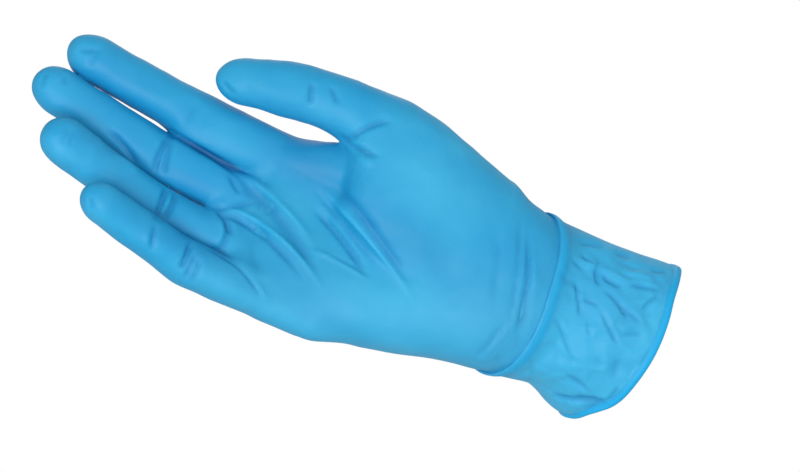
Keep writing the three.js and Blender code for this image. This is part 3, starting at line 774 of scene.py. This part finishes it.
def crumples(places, size):
    """Unevenness with ridges at a height of 1, at places in millimetres."""

    def height(place):
        wave = noise.noise(place / size) + FINER_SHARE * noise.noise(place * FINER / size)
        return 1 - SHARPNESS * abs(wave)

    return np.array([height(Vector(place)) for place in places])


def fold_lift(x, z, rows):
    """Height of the folds at places seen from the front."""
    lift = np.zeros(len(x))
    for x1, z1, x2, z2, bow, rise, broad, lip in rows:
        reach = FOLD_REACH * broad + abs(bow)
        near_x = (x > min(x1, x2) - reach) & (x < max(x1, x2) + reach)
        near_z = (z > min(z1, z2) - reach) & (z < max(z1, z2) + reach)
        near = np.flatnonzero(near_x & near_z)
        if not len(near):
            continue
        start, end = np.array([x1, z1], float), np.array([x2, z2], float)
        along = unit(end - start)
        side = np.array([-along[1], along[0]])
        middle = (start + end) / 2 + side * bow * 2
        t = np.linspace(0, 1, FOLD_PIECES + 1)[:, None]
        line = start * (1 - t) ** 2 + middle * 2 * t * (1 - t) + end * t**2
        place = np.stack([x[near], z[near]], axis=-1)
        best = np.full(len(near), 1e9)
        signed, share = np.zeros(len(near)), np.zeros(len(near))
        for k in range(FOLD_PIECES):
            a, b = line[k], line[k + 1]
            step = b - a
            u = np.clip(((place - a) @ step) / (step @ step), 0, 1)
            away = place - a - u[:, None] * step
            d = np.hypot(*away.T)
            closer = d < best
            best = np.where(closer, d, best)
            signed = np.where(closer, away[:, 0] * step[1] - away[:, 1] * step[0], signed)
            share = np.where(closer, (k + u) / FOLD_PIECES, share)
        width = broad * np.where(signed * np.sign(lip) > 0, 1 - abs(lip), 1 + GENTLE_SIDE * abs(lip))
        ends = smoothstep(share, 0, FOLD_FADE) * smoothstep(1 - share, 0, FOLD_FADE)
        lift[near] += rise * ends * np.exp(-((best / width) ** 2))
    return lift


def paleness_and_shade(x, z):
    """How much paler the film looks at places seen from the front: paler where it lies tight, in part
    painted light, and painted shade where below zero.
    """
    pale = np.zeros(len(x))
    for at, up, long, high, amount in PALE_AND_SHADE_PATCHES:
        pale += amount * np.exp(-(((x - at) / long) ** 2) - ((z - up) / high) ** 2)
    return pale


def seen(places):
    """Where points show in the picture's plane, as millimetres across and up."""
    scale = CAMERA_DISTANCE / (CAMERA_DISTANCE + places[:, 1])
    return (
        CAMERA_AT[0] + (places[:, 0] - CAMERA_AT[0]) * scale,
        CAMERA_AT[1] + (places[:, 2] - CAMERA_AT[1]) * scale,
    )


def zipped(first, second, first_angle, second_angle):
    """Triangles that join two loops running the same way round."""
    n, m = len(first), len(second)
    shift = int(np.argmin(np.abs(np.angle(np.exp(1j * (second_angle - first_angle[0]))))))
    second = np.roll(second, -shift)
    second_angle = np.unwrap(np.roll(second_angle, -shift))
    second_angle += 2 * math.pi * round((first_angle[0] - second_angle[0]) / (2 * math.pi))
    first_angle = np.append(first_angle, first_angle[0] + 2 * math.pi)
    second_angle = np.append(second_angle, second_angle[0] + 2 * math.pi)
    faces, i, j = [], 0, 0
    while i < n or j < m:
        first_sum = first_angle[i] + first_angle[i + 1] if i < n else math.inf
        second_sum = second_angle[j] + second_angle[j + 1] if j < m else math.inf
        if first_sum <= second_sum:
            faces.append([first[i], first[(i + 1) % n], second[j % m]])
            i += 1
        else:
            faces.append([first[i % n], second[(j + 1) % m], second[j]])
            j += 1
    return faces


def build_film():
    """The film's outer and inner face in one closed mesh.

    Returns its places, faces and doubleness, where rings and inner face start, and the rings' directions.
    """
    trunk = trunk_body(0, TRUNK_LENGTH)
    hand_trunk = trunk_body(JOIN_AT - TRUNK_OVERLAP, TRUNK_LENGTH)
    digits = digit_bodies()
    join = section_at(JOIN_AT, trunk)
    normal = unit(np.cross(join["front"], join["up"]))

    def field(points):
        return hand_field(points, hand_trunk, digits)

    def face_at(level, cell):
        return cut_open(*surface_net(HAND_LOW, HAND_HIGH, cell, field, level), join["centre"], normal)

    outer, outer_faces, outer_loop = face_at(0, CELL)
    inner, inner_faces, inner_loop = face_at(-FILM, INNER_CELL)
    loops = []
    for places, loop in ((outer, outer_loop), (inner, inner_loop)):
        turn = np.unwrap(bearings(places[loop], join))
        loops.append(loop if turn[-1] > turn[0] else loop[::-1])
    outer_loop, inner_loop = loops
    rings, outward, bands = film_rings(trunk, outer[outer_loop])
    count = len(outer_loop)
    start = len(outer)
    faces = list(outer_faces)
    ring_ids = [outer_loop] + [start + k * count + np.arange(count) for k in range(len(rings))]
    for a, b in zip(ring_ids, ring_ids[1:]):
        faces += np.stack([a, np.roll(a, -1), np.roll(b, -1), b], axis=-1).tolist()
    inner_start = start + len(rings) * count
    places = np.vstack([outer, *rings, inner])
    faces += [[inner_start + v for v in face[::-1]] for face in inner_faces]
    last = ring_ids[-1]
    last_angle = np.unwrap(bearings(places[last], join))
    loop_angle = bearings(inner[inner_loop], join)
    faces += zipped(last, inner_start + inner_loop, last_angle, loop_angle)
    band = np.concatenate([np.zeros(len(outer)), *bands, np.zeros(len(inner))])
    return places, faces, band, start, inner_start, np.vstack(outward)


def film_piece():
    """The film with its folds and crumples, and what its material reads from each place."""
    places, faces, band, ring_start, inner_start, outward = build_film()
    mesh = bpy.data.meshes.new("film")
    mesh.from_pydata(places.tolist(), [], faces)
    mesh.update()
    normals = np.empty(len(places) * 3)
    mesh.vertex_normals.foreach_get("vector", normals)
    out = normals.reshape(-1, 3)
    out[inner_start:] *= -1
    out[ring_start:inner_start] = outward
    x, z = seen(places)
    front = smoothstep(-out[:, 1], *FACING)
    back = smoothstep(out[:, 1], *FACING)
    folds = fold_lift(x, z, FOLDS)
    lift = folds * front + fold_lift(x, z, BACK_FOLDS) * back
    loose = np.zeros(len(places))
    loose[ring_start:inner_start] = 1
    loose *= smoothstep(x, *LOOSE_SPAN) * (1 - smoothstep(band, *LOOSE_BAND))
    facing = smoothstep(np.abs(out[:, 1]), *CRUMPLE_SPAN)
    lift += CRUMPLE_RISE * loose * facing * crumples(places * CRUMPLE_STRETCH, CRUMPLE_SIZE)
    lift += FILM_RISE * (1 - loose) * crumples(places + FILM_SHIFT, FILM_SIZE) * (band < PLAIN_BAND)
    places = places + out * lift[:, None]
    mesh.vertices.foreach_set("co", (places * MM).ravel())
    # Painted shade in creases and painted highlight on ridges, from the heights of folds, crumples and
    # film.
    fold_shading = folds * smoothstep(-out[:, 1], *FOLD_SHADE_SPAN) + LIFT_SHADE_SHARE * (lift - folds * front)
    # Paler where the film lies tight, in part painted light, and painted shade in grooves, hollows and gaps
    # between fingers.
    pale = paleness_and_shade(x, z) * smoothstep(-out[:, 1], *PALE_AND_SHADE_SPAN)
    for name, values in (("band", band), ("fold", fold_shading), ("loose", loose), ("pale", pale)):
        layer = mesh.attributes.new(name, "FLOAT", "POINT")
        layer.data.foreach_set("value", values.astype(np.float32))
    mesh.shade_smooth()
    mesh.validate()
    mesh.update()
    piece = bpy.data.objects.new("film", mesh)
    bpy.context.scene.collection.objects.link(piece)
    return piece


def nitrile():
    """Satin blue nitrile: slightly uneven film, paler where it is tight (in part painted light), with
    painted shade in creases, grooves and slits and painted highlight on ridges.
    """
    material = bpy.data.materials.new("nitrile")
    material.use_nodes = True
    nodes, links = material.node_tree.nodes, material.node_tree.links
    nodes.clear()
    out = nodes.new("ShaderNodeOutputMaterial")
    shader = nodes.new("ShaderNodeBsdfPrincipled")
    links.new(shader.outputs[0], out.inputs[0])
    where = nodes.new("ShaderNodeTexCoord").outputs["Object"]

    def noise(scale, detail, rough):
        node = nodes.new("ShaderNodeTexNoise")
        node.inputs["Scale"].default_value = scale
        node.inputs["Detail"].default_value = detail
        node.inputs["Roughness"].default_value = rough
        links.new(where, node.inputs["Vector"])
        return node.outputs["Fac"]

    def spread(value, low, high, bottom, top):
        node = nodes.new("ShaderNodeMapRange")
        node.inputs["From Min"].default_value = low
        node.inputs["From Max"].default_value = high
        node.inputs["To Min"].default_value = bottom
        node.inputs["To Max"].default_value = top
        links.new(value, node.inputs["Value"])
        return node.outputs["Result"]

    def mixed(share, first, second):
        node = nodes.new("ShaderNodeMix")
        node.data_type = "RGBA"
        links.new(share, node.inputs["Factor"])
        for socket, value in ((node.inputs["A"], first), (node.inputs["B"], second)):
            if isinstance(value, tuple):
                socket.default_value = (*value, 1)
            else:
                links.new(value, socket)
        return node.outputs["Result"]

    def shares(name):
        node = nodes.new("ShaderNodeAttribute")
        node.attribute_name = name
        return node.outputs["Fac"]

    def bumps(strength, height, *pattern):
        node = nodes.new("ShaderNodeBump")
        node.inputs["Strength"].default_value = strength
        node.inputs["Distance"].default_value = height
        links.new(noise(*pattern), node.inputs["Height"])
        return node

    colour = THIN
    for scale, detail, rough, low, high, most, tone in CLOUDS:
        colour = mixed(spread(noise(scale, detail, rough), low, high, 0, most), colour, tone)
    # The attributes bring in painted light where the film is tight, painted shade in grooves, hollows,
    # creases and slits, and painted highlight on ridges.
    for name, start, full, most, tone in TONES:
        colour = mixed(spread(shares(name), start, full, 0, most), colour, tone)
    links.new(mixed(shares("band"), colour, DOUBLE), shader.inputs["Base Color"])
    links.new(spread(noise(*GLOSS_NOISE), *GLOSS_SPAN), shader.inputs["Roughness"])
    for name, value in SURFACE.items():
        shader.inputs[name].default_value = value
    waves, grain = bumps(*WAVES), bumps(*GRAIN)
    links.new(waves.outputs["Normal"], grain.inputs["Normal"])
    links.new(grain.outputs["Normal"], shader.inputs["Normal"])
    return material


def plain(name, colour, rough):
    """A material of one colour."""
    material = bpy.data.materials.new(name)
    material.use_nodes = True
    shader = material.node_tree.nodes["Principled BSDF"]
    shader.inputs["Base Color"].default_value = (*colour, 1)
    shader.inputs["Roughness"].default_value = rough
    return material


def camera():
    """A camera square to the palm, tilted as the photographed hand is."""
    data = bpy.data.cameras.new("camera")
    data.sensor_width = SENSOR_WIDTH
    data.lens = SENSOR_WIDTH * CAMERA_DISTANCE / PICTURE_WIDTH
    data.clip_end = 10
    eye = bpy.data.objects.new("camera", data)
    tilt = rad(PICTURE_TILT)
    right = Vector((math.cos(tilt), 0, math.sin(tilt)))
    up = Vector((-math.sin(tilt), 0, math.cos(tilt)))
    turn = Matrix((right, up, right.cross(up))).transposed().to_4x4()
    place = Vector((CAMERA_AT[0] * MM, -CAMERA_DISTANCE * MM, CAMERA_AT[1] * MM))
    eye.matrix_world = Matrix.Translation(place) @ turn
    bpy.context.scene.collection.objects.link(eye)
    bpy.context.scene.camera = eye


def lamp(name, place, size, power):
    """A round soft lamp that faces the glove."""
    data = bpy.data.lights.new(name, "AREA")
    data.shape = "DISK"
    data.size = size
    data.energy = power
    thing = bpy.data.objects.new(name, data)
    place = Vector(place)
    turn = (Vector(LAMP_TARGET) - place).to_track_quat("-Z", "Y")
    thing.matrix_world = Matrix.Translation(place) @ turn.to_matrix().to_4x4()
    bpy.context.scene.collection.objects.link(thing)


def studio():
    """Soft white light, three lamps and a pale floor."""
    scene = bpy.context.scene
    scene.view_settings.view_transform = "Standard"
    world = bpy.data.worlds.new("studio")
    world.use_nodes = True
    nodes, links = world.node_tree.nodes, world.node_tree.links
    soft = nodes["Background"]
    soft.inputs["Strength"].default_value = SKY_STRENGTH
    soft.inputs["Color"].default_value = WHITE
    white = nodes.new("ShaderNodeBackground")
    white.inputs["Color"].default_value = WHITE
    either = nodes.new("ShaderNodeMixShader")
    links.new(nodes.new("ShaderNodeLightPath").outputs["Is Camera Ray"], either.inputs["Fac"])
    links.new(soft.outputs[0], either.inputs[1])
    links.new(white.outputs[0], either.inputs[2])
    links.new(either.outputs[0], nodes["World Output"].inputs["Surface"])
    scene.world = world
    for name, (place, size, power) in LAMPS.items():
        lamp(name, place, size, power)
    bpy.ops.mesh.primitive_circle_add(vertices=64, radius=FLOOR_RADIUS, fill_type="NGON", location=FLOOR_AT)
    floor = bpy.context.object
    floor.name = "floor"
    floor.data.materials.append(plain("floor", FLOOR_COLOUR, FLOOR_ROUGH))


camera()
studio()
film = film_piece()
film.data.materials.append(nitrile())
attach(film, "root")
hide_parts("glove")
